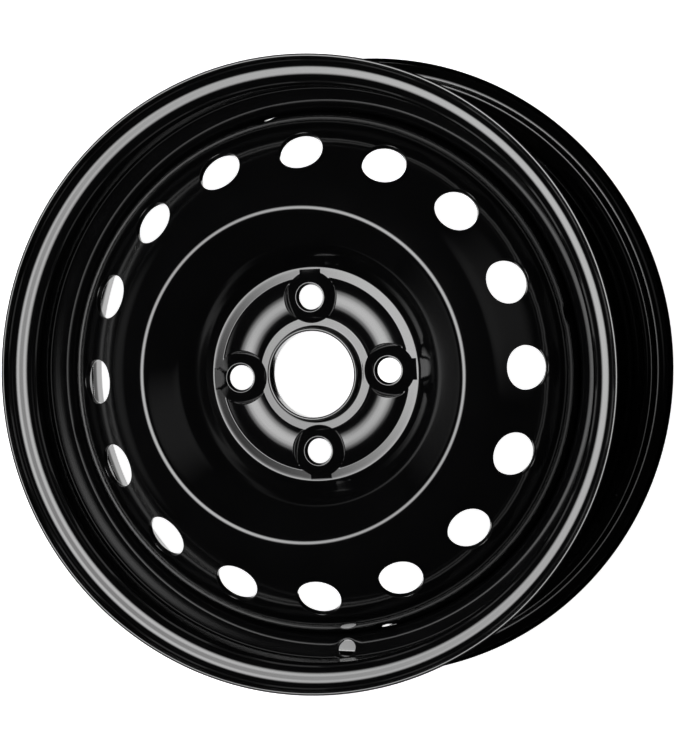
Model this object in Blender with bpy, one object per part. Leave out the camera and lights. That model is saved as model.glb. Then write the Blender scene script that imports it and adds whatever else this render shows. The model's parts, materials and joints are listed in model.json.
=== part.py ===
"""Pressed steel road wheel, 15 x 5.5 J, for four bolts on a 100 mm circle.

The wheel lies flat on its inboard flange. +Z is its axis, pointing outboard, and +X runs through a bolt
hole. Two sheets make it: a rolled rim and a pressed disc, joined by eight fillet welds behind the skirt.
"""
import math

import bmesh
import bpy
from mathutils import Matrix, Vector

# Rim contour, measured on the tyre side
BEAD_SEAT_DIAMETER = 0.3802
RIM_WIDTH = 0.1397
RIM_SHEET = 0.0023
FLANGE_HEIGHT = 0.0173
FLANGE_LIP = 0.0120
FLANGE_CURL = 0.0095
FLANGE_ROOT = 0.0065
SEAT_WIDTH = 0.0198
SEAT_TAPER = math.radians(5.0)
HUMP_HEIGHT = 0.0016
HUMP_LENGTH = 0.0090
WALL_TOP_RADIUS = 0.0050
WELL_DEPTH = 0.0173
WELL_FLOOR = 0.0334
WELL_RADIUS = 0.0065
WALL_LEAN = math.radians(20.0)
RAMP_SLOPE = math.radians(28.0)
RAMP_RADIUS = 0.0140

# Valve hole, through the well's outboard wall
VALVE_HOLE_DIAMETER = 0.0118
VALVE_ANGLE = math.radians(271.9)

# Disc, measured on its outboard face, with heights above the mounting face. The dish, crown and brow
# corners lie at shares of the run from the pad's edge to the shoulder, so that one pressing fits any rim
OFFSET = 0.0530
DISC_SHEET = 0.0035
HUB_BORE_DIAMETER = 0.0561
COLLAR_WALL = 0.0023
COLLAR_HEIGHT = 0.0080
COLLAR_ROOT = 0.0015
BORE_ROUNDING = 0.0025
PAD_MARGIN = 0.0201
PAD_EDGE_RADIUS = 0.0045
INNER_LAND = 0.00725
INNER_FLANK = 0.0054
ARC_RISE = 0.0023
OUTER_FLANK = 0.0076
OUTER_LAND = 0.0073
ARC_FOOT_RADIUS = 0.0030
ARC_TOP_RADIUS = 0.0090
DISH_SHARE = 0.1851
DISH_HEIGHT = 0.0222
DISH_BEND = 0.0300
CROWN_SHARE = 0.4319
CROWN_HEIGHT = 0.0377
CROWN_BEND = 0.0060
BROW_SHARE = 0.6333
BROW_HEIGHT = 0.0319
BROW_BEND = 0.0450
VENT_LAND_SLOPE = math.radians(37.0)
SHOULDER_INSET = 0.0142
SHOULDER_BEND = 0.0200
SHOULDER_SLOPE = math.radians(52.0)
SKIRT_BEND = 0.0160
SKIRT_LENGTH = 0.0280
SEAT_GAP = 0.0003

# Bolt holes and their bosses
BOLT_COUNT = 4
BOLT_CIRCLE_DIAMETER = 0.1000
BOLT_HOLE_DIAMETER = 0.0160
BOLT_SEAT_WIDTH = 0.0013
BOLT_SEAT_ANGLE = math.radians(60.0)
BOSS_LIP = 0.0005
BOSS_FLANK = 0.0071
BOSS_RISE = 0.0032
BOSS_KEY_WIDTH = 0.0140
BOSS_KEY_STEP = 0.0012
BOSS_SINK = 0.0010
ARC_END_GAP = 0.0003
ARC_END_STEP = 0.0001
RECESS_INSET = 0.0019
RECESS_LEAD = 0.0010

# Vents round the outer band
VENT_COUNT = 16
VENT_DIAMETER = 0.0290
VENT_INSET = 0.0119
VENT_TURN = math.radians(-0.9)

# Drain reliefs in the skirt
DRAIN_COUNT = 4
DRAIN_ANGLE = math.radians(280.4)
DRAIN_WIDTH = 0.0160
DRAIN_DEPTH = 0.0014

# Fillet welds behind the skirt
BEAD_COUNT = 8
BEAD_LEG = 0.0042
BEAD_BULGE = 0.0008
BEAD_SHARE = 0.80
BEAD_END_SHARE = 0.4

# Faceting
COLUMNS = 48
ARC_STEP = math.radians(32.0)
HOLE_SIDES = 20
BOLT_SIDES = 20
CUT_MARGIN = 0.0120

# Heights of the two sheets in the wheel's own frame
RIM_CENTRE_Z = RIM_WIDTH / 2 + FLANGE_LIP
MOUNT_Z = RIM_CENTRE_Z + OFFSET

SEAT_RADIUS = BEAD_SEAT_DIAMETER / 2
FLANGE_RADIUS = SEAT_RADIUS + FLANGE_HEIGHT
WELL_OUTER_RADIUS = SEAT_RADIUS - WELL_DEPTH
SKIRT_RADIUS = WELL_OUTER_RADIUS - RIM_SHEET - SEAT_GAP
SHOULDER_RADIUS = SKIRT_RADIUS - SHOULDER_INSET
BOLT_CIRCLE_RADIUS = BOLT_CIRCLE_DIAMETER / 2
PAD_RADIUS = BOLT_CIRCLE_RADIUS + PAD_MARGIN
DISH_RADIUS = PAD_RADIUS + (SHOULDER_RADIUS - PAD_RADIUS) * DISH_SHARE
CROWN_RADIUS = PAD_RADIUS + (SHOULDER_RADIUS - PAD_RADIUS) * CROWN_SHARE
BROW_RADIUS = PAD_RADIUS + (SHOULDER_RADIUS - PAD_RADIUS) * BROW_SHARE
VENT_CIRCLE_RADIUS = SHOULDER_RADIUS - VENT_INSET
BORE_RADIUS = HUB_BORE_DIAMETER / 2
BOLT_HOLE_RADIUS = BOLT_HOLE_DIAMETER / 2
BOSS_TOP_RADIUS = BOLT_HOLE_RADIUS + BOLT_SEAT_WIDTH + BOSS_LIP
BOSS_FOOT_RADIUS = BOSS_TOP_RADIUS + BOSS_FLANK
BOSS_TOP_HEIGHT = DISC_SHEET + BOSS_RISE
BOSS_SLOPE = BOSS_RISE / BOSS_FLANK
SHOULDER_HEIGHT = BROW_HEIGHT - (SHOULDER_RADIUS - BROW_RADIUS) * math.tan(VENT_LAND_SLOPE)
SKIRT_TOP = SHOULDER_HEIGHT - SHOULDER_INSET * math.tan(SHOULDER_SLOPE)
SKIRT_FOOT = SKIRT_TOP - SKIRT_LENGTH
COLUMN_ANGLE = 2 * math.pi / COLUMNS


def clear_scene():
    for item in list(bpy.data.objects):
        bpy.data.objects.remove(item, do_unlink=True)


def round_corners(corners):
    """Turn (radius, height, bend) corners into points, each bend an arc of a few chords."""
    points = [Vector(corners[0][:2])]
    for before, corner, after in zip(corners, corners[1:], corners[2:]):
        here = Vector(corner[:2])
        back = (Vector(before[:2]) - here).normalized()
        ahead = (Vector(after[:2]) - here).normalized()
        turn = math.pi - back.angle(ahead)
        bend = corner[2]
        if bend <= 0:
            points.append(here)
            continue
        centre = here + (back + ahead).normalized() * (bend / math.cos(turn / 2))
        start = here + back * (bend * math.tan(turn / 2)) - centre
        side = 1 if back.cross(ahead) < 0 else -1
        steps = math.ceil(turn / ARC_STEP)
        for step in range(steps + 1):
            angle = side * turn * step / steps
            points.append(centre + Matrix.Rotation(angle, 2) @ start)
    points.append(Vector(corners[-1][:2]))
    return points


def offset_path(points, distance):
    """Shift a path to its right-hand side by a sheet's thickness."""
    shifted = []
    for before, here, after in zip([None] + points[:-1], points, points[1:] + [None]):
        runs = [here - before] if before else []
        runs += [after - here] if after else []
        sides = [Vector((run.y, -run.x)).normalized() for run in runs]
        middle = sum(sides, Vector((0.0, 0.0))).normalized()
        shifted.append(here + middle * (distance / middle.dot(sides[0])))
    return shifted


def sheet_outline(path, thickness):
    """Close a path and its shifted copy into the section of one bent sheet."""
    return path + list(reversed(offset_path(path, thickness)))


def finish(name, bm, material, parent, smooth_below=math.radians(32.0)):
    """Store a bmesh as a named, shaded object under its parent."""
    bmesh.ops.recalc_face_normals(bm, faces=bm.faces)
    mesh = bpy.data.meshes.new(name)
    bm.to_mesh(mesh)
    bm.free()
    item = bpy.data.objects.new(name, mesh)
    bpy.context.scene.collection.objects.link(item)
    item.parent = parent
    if material:
        mesh.materials.append(material)
        mesh.shade_smooth()
        mesh.set_sharp_from_angle(angle=smooth_below)
    else:
        item.hide_render = True
        item.display_type = "WIRE"
    return item


def turned(outline):
    """Spin a closed (radius, height) outline once round the wheel's axis."""
    bm = bmesh.new()
    ring = [bm.verts.new((point[0], 0.0, point[1])) for point in outline]
    for here, following in zip(ring, ring[1:] + ring[:1]):
        bm.edges.new((here, following))
    bmesh.ops.spin(
        bm, geom=bm.verts[:] + bm.edges[:], cent=(0, 0, 0), axis=(0, 0, 1),
        angle=2 * math.pi, steps=COLUMNS, use_merge=True)
    return bm


def cut(target, cutter, operation="DIFFERENCE"):
    """Add an exact Boolean to the target."""
    boolean = target.modifiers.new(cutter.name, "BOOLEAN")
    boolean.operation = operation
    boolean.solver = "EXACT"
    boolean.object = cutter


def paint(name, colour, roughness, metallic=0.0):
    """Make a plain Principled material."""
    material = bpy.data.materials.new(name)
    material.use_nodes = True
    shader = material.node_tree.nodes["Principled BSDF"]
    shader.inputs["Base Color"].default_value = (*colour, 1.0)
    shader.inputs["Roughness"].default_value = roughness
    shader.inputs["Metallic"].default_value = metallic
    shader.inputs["Coat Weight"].default_value = 1.0
    return material


def frame_empty(name, height):
    """Add an empty on the wheel's axis."""
    empty = bpy.data.objects.new(name, None)
    empty.location = (0.0, 0.0, height)
    bpy.context.scene.collection.objects.link(empty)
    return empty


def rim_path():
    """The rim's tyre side, from the outboard lip to the inboard lip, about the rim's centre."""
    half = RIM_WIDTH / 2
    seat_end = SEAT_RADIUS - SEAT_WIDTH * math.tan(SEAT_TAPER)
    hump_top = seat_end + HUMP_HEIGHT
    hump_centre = half - SEAT_WIDTH - HUMP_LENGTH / 2
    hump_end = half - SEAT_WIDTH - HUMP_LENGTH
    wall_foot = hump_end - (seat_end - WELL_OUTER_RADIUS) * math.tan(WALL_LEAN)
    ramp_foot = wall_foot - WELL_FLOOR
    ramp_top = ramp_foot - (seat_end - WELL_OUTER_RADIUS) / math.tan(RAMP_SLOPE)

    def bead_side():
        return [
            (FLANGE_RADIUS, half + FLANGE_LIP, 0),
            (FLANGE_RADIUS, half, FLANGE_CURL),
            (SEAT_RADIUS, half, FLANGE_ROOT),
            (seat_end, half - SEAT_WIDTH, 0),
            (hump_top, hump_centre, 0),
        ]

    outboard = bead_side()
    inboard = [(radius, -height, bend) for radius, height, bend in reversed(bead_side())]
    middle = [
        (seat_end, hump_end, WALL_TOP_RADIUS),
        (WELL_OUTER_RADIUS, wall_foot, WELL_RADIUS),
        (WELL_OUTER_RADIUS, ramp_foot, RAMP_RADIUS),
        (seat_end, ramp_top, RAMP_RADIUS),
        (seat_end, -hump_end, 0),
    ]
    return round_corners(outboard + middle + inboard)


def disc_outline():
    """The pressing's section, with heights above its mounting face."""
    arc_top = DISC_SHEET + ARC_RISE
    collar_radius = BORE_RADIUS + COLLAR_WALL
    collar_top = DISC_SHEET + COLLAR_HEIGHT
    arc_inner = collar_radius + INNER_LAND
    arc_outer = PAD_RADIUS - OUTER_LAND
    pressed = [
        (arc_inner, DISC_SHEET, ARC_FOOT_RADIUS),
        (arc_inner + INNER_FLANK, arc_top, ARC_TOP_RADIUS),
        (arc_outer - OUTER_FLANK, arc_top, ARC_TOP_RADIUS),
        (arc_outer, DISC_SHEET, ARC_FOOT_RADIUS),
        (PAD_RADIUS, DISC_SHEET, PAD_EDGE_RADIUS),
        (DISH_RADIUS, DISH_HEIGHT, DISH_BEND),
        (CROWN_RADIUS, CROWN_HEIGHT, CROWN_BEND),
        (BROW_RADIUS, BROW_HEIGHT, BROW_BEND),
        (SHOULDER_RADIUS, SHOULDER_HEIGHT, SHOULDER_BEND),
        (SKIRT_RADIUS, SKIRT_TOP, SKIRT_BEND),
        (SKIRT_RADIUS, SKIRT_FOOT, 0),
    ]
    collar = [(collar_radius, collar_top, 0), (collar_radius, DISC_SHEET, COLLAR_ROOT)]
    front = round_corners(collar + pressed)
    back = offset_path(round_corners([(collar_radius, DISC_SHEET, 0)] + pressed), DISC_SHEET)
    bore_corner = (BORE_RADIUS, 0, BORE_ROUNDING)
    bore = round_corners([(collar_radius, 0, 0), bore_corner, (BORE_RADIUS, collar_top, 0)])
    return front + list(reversed(back)) + bore[1:]


def vent_cutter(parent):
    """Round punches, each square to the sloping band it goes through."""
    slope_run = VENT_CIRCLE_RADIUS - BROW_RADIUS
    height = BROW_HEIGHT - slope_run * math.tan(VENT_LAND_SLOPE)
    bm = bmesh.new()
    for number in range(VENT_COUNT):
        angle = VENT_TURN + number * 2 * math.pi / VENT_COUNT
        place = (
            Matrix.Rotation(angle, 4, "Z")
            @ Matrix.Translation((VENT_CIRCLE_RADIUS, 0, height))
            @ Matrix.Rotation(VENT_LAND_SLOPE, 4, "Y"))
        bmesh.ops.create_cone(
            bm, cap_ends=True, segments=HOLE_SIDES, radius1=VENT_DIAMETER / 2, radius2=VENT_DIAMETER / 2,
            depth=2 * CUT_MARGIN, matrix=place)
    return finish("vent_cutter", bm, None, parent)


def drain_cutter(parent):
    """Upright cylinders that press a shallow hollow into the skirt's outer face."""
    half_width = DRAIN_WIDTH / 2
    skirt_rise = SKIRT_RADIUS - math.sqrt(SKIRT_RADIUS ** 2 - half_width ** 2)
    bite = DRAIN_DEPTH - skirt_rise
    radius = (half_width ** 2 + bite ** 2) / (2 * bite)
    reach = SKIRT_RADIUS - DRAIN_DEPTH + radius
    low = SKIRT_FOOT - CUT_MARGIN
    middle = (low + SHOULDER_HEIGHT) / 2
    bm = bmesh.new()
    for number in range(DRAIN_COUNT):
        angle = DRAIN_ANGLE + number * 2 * math.pi / DRAIN_COUNT
        place = Matrix.Rotation(angle, 4, "Z") @ Matrix.Translation((reach, 0, middle))
        bmesh.ops.create_cone(
            bm, cap_ends=True, segments=2 * HOLE_SIDES, radius1=radius, radius2=radius,
            depth=SHOULDER_HEIGHT - low, matrix=place)
    return finish("drain_cutter", bm, None, parent)


def boss_foot():
    """Outline of a boss about its bolt hole: a circle with a key that points away from the hub."""
    half_key = BOSS_KEY_WIDTH / 2
    key_angle = math.asin(half_key / BOSS_FOOT_RADIUS)
    sweep = 2 * (math.pi - key_angle)
    points = []
    for index in range(BOLT_SIDES):
        angle = key_angle + sweep * index / (BOLT_SIDES - 1)
        points.append(Vector((BOSS_FOOT_RADIUS * math.cos(angle), BOSS_FOOT_RADIUS * math.sin(angle))))
    key_end = BOSS_FOOT_RADIUS + BOSS_KEY_STEP
    return points + [Vector((key_end, -half_key)), Vector((key_end, half_key))]


def bolt_places():
    """The four bolt axes in the disc's frame."""
    for number in range(BOLT_COUNT):
        turn = Matrix.Rotation(number * 2 * math.pi / BOLT_COUNT, 4, "Z")
        yield turn @ Matrix.Translation((BOLT_CIRCLE_RADIUS, 0, 0))


def lofted(bm, rings):
    """Join rings of as many points each, low to high, into one closed solid."""
    loops = [[bm.verts.new(point) for point in ring] for ring in rings]
    for low, high in zip(loops, loops[1:]):
        for index in range(len(low)):
            following = (index + 1) % len(low)
            bm.faces.new((low[index], low[following], high[following], high[index]))
    bm.faces.new(list(reversed(loops[0])))
    bm.faces.new(loops[-1])


def boss_blank(parent):
    """Keyed cones that stand on the pad round each bolt hole, their slopes carried on into the sheet."""
    foot = boss_foot()
    spread = 1 + BOSS_SINK / BOSS_SLOPE / BOSS_FOOT_RADIUS
    low = [Vector((*(point * spread), DISC_SHEET - BOSS_SINK)) for point in foot]
    top = [Vector((*(point.normalized() * BOSS_TOP_RADIUS), BOSS_TOP_HEIGHT)) for point in foot]
    bm = bmesh.new()
    for place in bolt_places():
        lofted(bm, [[place @ point for point in ring] for ring in (low, top)])
    bmesh.ops.triangulate(bm, faces=bm.faces)
    return finish("boss_blank", bm, None, parent)


def arc_end_cutter(parent):
    """Cylinders that end the raised arcs just outside the feet of the bosses."""
    radius = BOSS_FOOT_RADIUS + ARC_END_GAP
    low = DISC_SHEET + ARC_END_STEP
    lift = Matrix.Translation((0, 0, low + CUT_MARGIN / 2))
    bm = bmesh.new()
    for place in bolt_places():
        bmesh.ops.create_cone(
            bm, cap_ends=True, segments=2 * BOLT_SIDES, radius1=radius, radius2=radius,
            depth=CUT_MARGIN, matrix=place @ lift)
    return finish("arc_end_cutter", bm, None, parent)


def bolt_cutter(parent):
    """Hollow under the boss, round hole and cone seat, turned as one tool for each bolt."""
    hole = BOLT_HOLE_RADIUS
    mouth = BOSS_FOOT_RADIUS - RECESS_INSET
    seat = hole + BOLT_SEAT_WIDTH
    seat_depth = BOLT_SEAT_WIDTH / math.tan(BOLT_SEAT_ANGLE / 2)
    flare = CUT_MARGIN * math.tan(BOLT_SEAT_ANGLE / 2)
    steps = [
        (mouth + RECESS_LEAD / BOSS_SLOPE, -RECESS_LEAD),
        (hole, (mouth - hole) * BOSS_SLOPE),
        (hole, BOSS_TOP_HEIGHT - seat_depth),
        (seat + flare, BOSS_TOP_HEIGHT + CUT_MARGIN),
    ]
    angles = [index * 2 * math.pi / BOLT_SIDES for index in range(BOLT_SIDES)]
    bm = bmesh.new()
    for place in bolt_places():
        rings = [
            [place @ Vector((radius * math.cos(a), radius * math.sin(a), height)) for a in angles]
            for radius, height in steps
        ]
        lofted(bm, rings)
    return finish("bolt_cutter", bm, None, parent)


def valve_cutter(parent):
    """A punch square to the well's outboard wall."""
    seat_end = SEAT_RADIUS - SEAT_WIDTH * math.tan(SEAT_TAPER)
    radius = (seat_end + WELL_OUTER_RADIUS) / 2
    height = RIM_WIDTH / 2 - SEAT_WIDTH - HUMP_LENGTH - (seat_end - radius) * math.tan(WALL_LEAN)
    place = (
        Matrix.Rotation(VALVE_ANGLE, 4, "Z")
        @ Matrix.Translation((radius, 0, height))
        @ Matrix.Rotation(-WALL_LEAN, 4, "Y"))
    bm = bmesh.new()
    bmesh.ops.create_cone(
        bm, cap_ends=True, segments=HOLE_SIDES, radius1=VALVE_HOLE_DIAMETER / 2,
        radius2=VALVE_HOLE_DIAMETER / 2, depth=CUT_MARGIN, matrix=place)
    return finish("valve_cutter", bm, None, parent)


def make_rim(parent, paint_coat):
    """The rolled strip with its valve hole."""
    outline = sheet_outline(rim_path(), RIM_SHEET)
    rim = finish("rim", turned(outline), paint_coat, parent)
    cut(rim, valve_cutter(parent))
    return rim


def make_disc(parent, paint_coat):
    """The pressing, with bosses added and every opening cut."""
    disc = finish("wheel_disc", turned(disc_outline()), paint_coat, parent)
    cut(disc, arc_end_cutter(parent))
    cut(disc, boss_blank(parent), "UNION")
    cut(disc, bolt_cutter(parent))
    cut(disc, vent_cutter(parent))
    cut(disc, drain_cutter(parent))
    return disc


def make_weld_bead(number, parent, weld_metal):
    """One fillet of weld metal in the corner behind the skirt, thinner at its two ends."""
    pitch = 2 * math.pi / BEAD_COUNT
    columns = round(pitch * BEAD_SHARE / COLUMN_ANGLE)
    start = DRAIN_ANGLE + number * pitch + pitch * (1 - BEAD_SHARE) / 2
    first = round(start / COLUMN_ANGLE)
    top = SKIRT_FOOT - SEAT_GAP
    corner = Vector((SKIRT_RADIUS, top))
    belly = BEAD_LEG / 2 + BEAD_BULGE
    section = [
        corner,
        corner + Vector((0, -BEAD_LEG)),
        corner + Vector((-belly, -belly)),
        corner + Vector((-BEAD_LEG, 0)),
    ]
    rings = []
    for column in range(columns + 1):
        share = BEAD_END_SHARE if column in (0, columns) else 1
        angle = (first + column) * COLUMN_ANGLE
        points = [corner + (point - corner) * share for point in section]
        rings.append([(p.x * math.cos(angle), p.x * math.sin(angle), p.y) for p in points])
    bm = bmesh.new()
    lofted(bm, rings)
    return finish(f"weld_bead_{number + 1}", bm, weld_metal, parent)


def main():
    clear_scene()
    rim_frame = frame_empty("rim_centre", RIM_CENTRE_Z)
    disc_frame = frame_empty("mounting_face", MOUNT_Z)
    gloss_black = paint("gloss_black_coat", (0.012, 0.012, 0.013), 0.18)
    coated_weld = paint("coated_weld", (0.016, 0.016, 0.017), 0.35)
    make_rim(rim_frame, gloss_black)
    make_disc(disc_frame, gloss_black)
    for number in range(BEAD_COUNT):
        make_weld_bead(number, disc_frame, coated_weld)


main()
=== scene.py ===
# %% [markdown]
# # A pressed steel road wheel
# A steel wheel is two sheets. A strip is rolled into a hoop and given the rim's contour, and a blank is
# pressed into the dished disc that carries the bolts. Eight fillet welds join them, and stoved enamel
# covers everything. The fixed frame gives the main sizes and places. This script makes the same sheets
# again with finer bends, rounded edges and weld ripples, and gives them their finish. Where a shape was tuned
# until its highlights fell as in the photograph, and so differs from the solid, the text beside it says so.

# %% Load the fixed frame
import json
import math

import bmesh
import bpy
from mathutils import Matrix, Vector


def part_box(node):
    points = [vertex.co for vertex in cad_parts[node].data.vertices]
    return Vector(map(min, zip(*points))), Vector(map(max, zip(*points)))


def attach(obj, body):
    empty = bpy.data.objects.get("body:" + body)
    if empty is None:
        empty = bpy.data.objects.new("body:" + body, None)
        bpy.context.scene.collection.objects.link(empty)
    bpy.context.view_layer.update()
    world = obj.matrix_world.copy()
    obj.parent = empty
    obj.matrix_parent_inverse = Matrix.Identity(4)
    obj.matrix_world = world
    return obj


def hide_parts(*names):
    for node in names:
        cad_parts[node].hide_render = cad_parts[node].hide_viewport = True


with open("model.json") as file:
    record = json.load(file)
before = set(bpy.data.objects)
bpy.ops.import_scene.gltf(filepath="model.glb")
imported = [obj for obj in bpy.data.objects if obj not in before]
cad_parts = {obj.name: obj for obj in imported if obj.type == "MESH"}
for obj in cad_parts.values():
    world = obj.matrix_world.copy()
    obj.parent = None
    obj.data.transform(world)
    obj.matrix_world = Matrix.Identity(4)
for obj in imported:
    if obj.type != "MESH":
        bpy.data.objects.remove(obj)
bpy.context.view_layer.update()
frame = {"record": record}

# %% [markdown]
# ## Where the two sheets stand
# The wheel lies on its inboard flange with its axis along +Z. The boxes of the two nodes and the hub mount
# give the outer radius and the heights that both sheets hang on. The smaller sizes are written in each cell.

# %% Read the main radii and heights from the frame
rim_low, rim_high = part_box("rim")
disc_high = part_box("wheel_disc")[1]
hub_face = next(m for m in frame["record"]["mounts"] if m["name"] == "hub_face")
FLANGE_RADIUS = rim_high.x
RIM_MIDDLE = (rim_low.z + rim_high.z) / 2
MOUNT_Z = hub_face["pos_m"][2]
print(f"flange radius {FLANGE_RADIUS:.4f}, disc radius {disc_high.x:.5f}, hub face at {MOUNT_Z:.4f}")

# %% [markdown]
# ## Bending a section
# A sheet's section is a chain of straight runs and bends, as on a press drawing. Each corner is written as
# radius, height and bend radius, and the helper swaps the corner for an arc. Long runs are cut too, so a
# row of points lies close to every bend and the flats stay flat in a reflection.

# %% Turn corners into a fine path
BEND_STEP = math.radians(5.0)
RUN_STEP = 0.0028


def straight_run(start, end):
    """Points after start up to end, none further apart than the longest step."""
    pieces = max(1, math.ceil((end - start).length / RUN_STEP))
    return [start.lerp(end, index / pieces) for index in range(1, pieces + 1)]


def bent_path(corners):
    """(radius, height, bend) corners as one path of short runs and arcs."""
    path = [Vector(corners[0][:2])]
    for before, corner, after in zip(corners, corners[1:], corners[2:]):
        here = Vector(corner[:2])
        back = (Vector(before[:2]) - here).normalized()
        ahead = (Vector(after[:2]) - here).normalized()
        turn = math.pi - back.angle(ahead)
        bend = corner[2]
        if bend <= 0:
            path += straight_run(path[-1], here)
            continue
        centre = here + (back + ahead).normalized() * (bend / math.cos(turn / 2))
        start = here + back * (bend * math.tan(turn / 2))
        path += straight_run(path[-1], start)
        side = 1 if back.cross(ahead) < 0 else -1
        steps = max(2, math.ceil(turn / BEND_STEP))
        for step in range(1, steps + 1):
            path.append(centre + Matrix.Rotation(side * turn * step / steps, 2) @ (start - centre))
    return path + straight_run(path[-1], Vector(corners[-1][:2]))


def right_of(path, distance):
    """The same path moved to its right-hand side by a sheet's thickness."""
    moved = []
    for before, here, after in zip([None] + path[:-1], path, path[1:] + [None]):
        runs = [here - before] if before else []
        runs += [after - here] if after else []
        sides = [Vector((run.y, -run.x)).normalized() for run in runs]
        middle = sum(sides, Vector((0.0, 0.0))).normalized()
        moved.append(here + middle * (distance / middle.dot(sides[0])))
    return moved


class Section:
    """The two faces of a bent sheet, read by the distance run along its outer face."""

    def __init__(self, outer, inner):
        self.outer = outer
        self.inner = inner
        self.reaches = [0.0]
        for start, end in zip(outer, outer[1:]):
            self.reaches.append(self.reaches[-1] + (end - start).length)

    def point(self, reach, side):
        """(radius, height) at a reach, on the outer face for side 0 and on the inner face for side 1."""
        path = self.inner if side > 0.5 else self.outer
        low, high = 0, len(self.reaches) - 1
        while high - low > 1:
            middle = (low + high) // 2
            if self.reaches[middle] <= reach:
                low = middle
            else:
                high = middle
        run = self.reaches[high] - self.reaches[low]
        return path[low].lerp(path[high], (reach - self.reaches[low]) / run)

    def reach_at_radius(self, radius, first, last):
        """The reach between two reaches, with the radius growing, at which the outer face has a radius."""
        for _ in range(40):
            middle = (first + last) / 2
            if self.point(middle, 0).x < radius:
                first = middle
            else:
                last = middle
        return (first + last) / 2


# %% [markdown]
# ## From flat strip to ring
# Both sheets are made the way a factory makes them: a flat strip is punched while it is flat, gets its
# thickness and is then rolled up. A grid is the strip. Its x is the angle round the wheel and its y the
# reach along the section. A block of cells is deleted where a hole will be, and the edge of the block is
# extruded inwards, ring by ring, until it is round. The mesh stays regular right up to the hole, so it
# reflects cleanly, which a Boolean cut through a dense lathe doesn't do.

# %% Make, punch and thicken a strip
COLUMNS = 256
PITCH = 2 * math.pi / COLUMNS
SEAM = -24


def flat_strip(reaches):
    """A grid with a column for every pitch and a row for every reach, starting at the seam."""
    bm = bmesh.new()
    rows = len(reaches) - 1
    bmesh.ops.create_grid(bm, x_segments=COLUMNS, y_segments=rows, size=0.5)
    short_end = bm.verts.layers.int.new("short_end")
    for vert in bm.verts:
        column = round((vert.co.x + 0.5) * COLUMNS)
        row = round((vert.co.y + 0.5) * rows)
        vert[short_end] = column in (0, COLUMNS)
        vert.co = ((SEAM + column) * PITCH, reaches[row], 0.0)
    return bm


def punch(bm, low, high):
    """Delete a block of cells and give back the edges round it."""
    block = set()
    for face in bm.faces:
        middle = face.calc_center_median()
        if low[0] < middle.x < high[0] and low[1] < middle.y < high[1]:
            block.add(face)
    edges = {edge for face in block for edge in face.edges}
    border = [edge for edge in edges if any(face not in block for face in edge.link_faces)]
    bmesh.ops.delete(bm, geom=list(block), context="FACES")
    return border


def draw_in(bm, edges, to_local, to_strip, law):
    """Extrude a ring of edges and move the new ring to new distances from the hole's centre."""
    made = bmesh.ops.extrude_edge_only(bm, edges=edges)["geom"]
    for vert in [item for item in made if isinstance(item, bmesh.types.BMVert)]:
        local = to_local(vert.co)
        vert.co = to_strip(local.normalized() * law(local))
    return [item for item in made if isinstance(item, bmesh.types.BMEdge) and item.is_boundary]


def toward(target, share):
    """A law that keeps a share of the way between a circle and where the ring is now."""
    return lambda local: target + (local.length - target) * share


def set_to(target):
    """A law that puts the ring on a circle."""
    return lambda local: target


def thicken(bm):
    """Extrude the strip by one unit of z, tag its walls, and open its two short ends again."""
    made = bmesh.ops.extrude_face_region(bm, geom=bm.faces[:], use_keep_orig=True)
    moved = [item for item in made["geom"] if isinstance(item, bmesh.types.BMVert)]
    bmesh.ops.translate(bm, verts=moved, vec=(0.0, 0.0, 1.0))
    short_end = bm.verts.layers.int["short_end"]
    ends = []
    for face in bm.faces:
        depths = {round(vert.co.z) for vert in face.verts}
        face.material_index = 1 if len(depths) == 2 else 0
        if face.material_index and all(vert[short_end] for vert in face.verts):
            ends.append(face)
    bmesh.ops.delete(bm, geom=ends, context="FACES_ONLY")


def close_and_round(bm, is_wide):
    """Merge the seam, then round the edges of the holes finely and the chosen rims' edges widely."""
    bmesh.ops.remove_doubles(bm, verts=bm.verts, dist=0.000004)
    corners = []
    for edge in bm.edges:
        tags = {face.material_index for face in edge.link_faces}
        if len(tags) == 2:
            corners.append(edge)
    wide = [edge for edge in corners if is_wide(edge.verts[0].co)]
    fine = [edge for edge in corners if not is_wide(edge.verts[0].co)]
    for edges, radius, segments in ((wide, 0.0009, 5), (fine, 0.0004, 3)):
        bmesh.ops.bevel(
            bm, geom=edges, offset=radius, offset_type="OFFSET", segments=segments, profile=0.5,
            affect="EDGES", clamp_overlap=True, material=-1)
    for face in bm.faces:
        face.material_index = 0
    bmesh.ops.recalc_face_normals(bm, faces=bm.faces)
    open_edges = sum(1 for edge in bm.edges if len(edge.link_faces) != 2)
    print(f"rounded {len(corners)} edges, {open_edges} open")


def finished(name, bm, material):
    """Store a bmesh as a smooth piece that rides with the wheel."""
    mesh = bpy.data.meshes.new(name)
    for face in bm.faces:
        face.smooth = True
    bm.to_mesh(mesh)
    bm.free()
    piece = bpy.data.objects.new(name, mesh)
    bpy.context.scene.collection.objects.link(piece)
    mesh.materials.append(material)
    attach(piece, "root")
    triangles = sum(len(face.vertices) - 2 for face in mesh.polygons)
    print(f"{name}: {triangles} triangles")
    return piece


# %% [markdown]
# ## Stoved black enamel
# The finish is one deep black coat with a clear gloss over steel. Stoved enamel is never optically flat, so
# the group below holds what both sheets share: a fine ripple known as orange peel, a slow swell left by the
# press, and a little cloud in the gloss. All of it reads Object coordinates, so it stays on the steel.

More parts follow.
